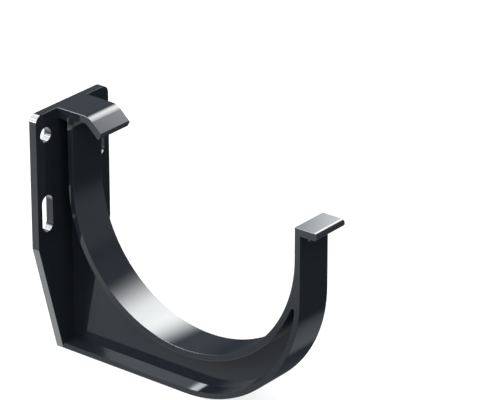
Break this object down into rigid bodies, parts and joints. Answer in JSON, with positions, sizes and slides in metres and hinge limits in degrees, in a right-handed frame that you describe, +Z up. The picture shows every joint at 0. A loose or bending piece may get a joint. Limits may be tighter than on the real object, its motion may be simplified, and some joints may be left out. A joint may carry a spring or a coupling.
{
  "type": "gutter bracket",
  "caption": "Fascia bracket for a half-round gutter: flat wall plate with fixing holes, ribbed half-round cradle, hook over the back edge and lip at the front.",
  "frame": {"origin": "middle of the wall plate's flat back face, halfway up and on the middle plane", "axes": "+Y into the wall, so the cradle reaches out along -Y; +Z up; X along the wall"},
  "size_m": [0.04, 0.1211, 0.097],
  "materials": {
    "plastic": "glossy near-black moulded plastic"
  },
  "bodies": {
    "root": {"gutter_bracket": "plastic"}
  },
  "joints": []
}
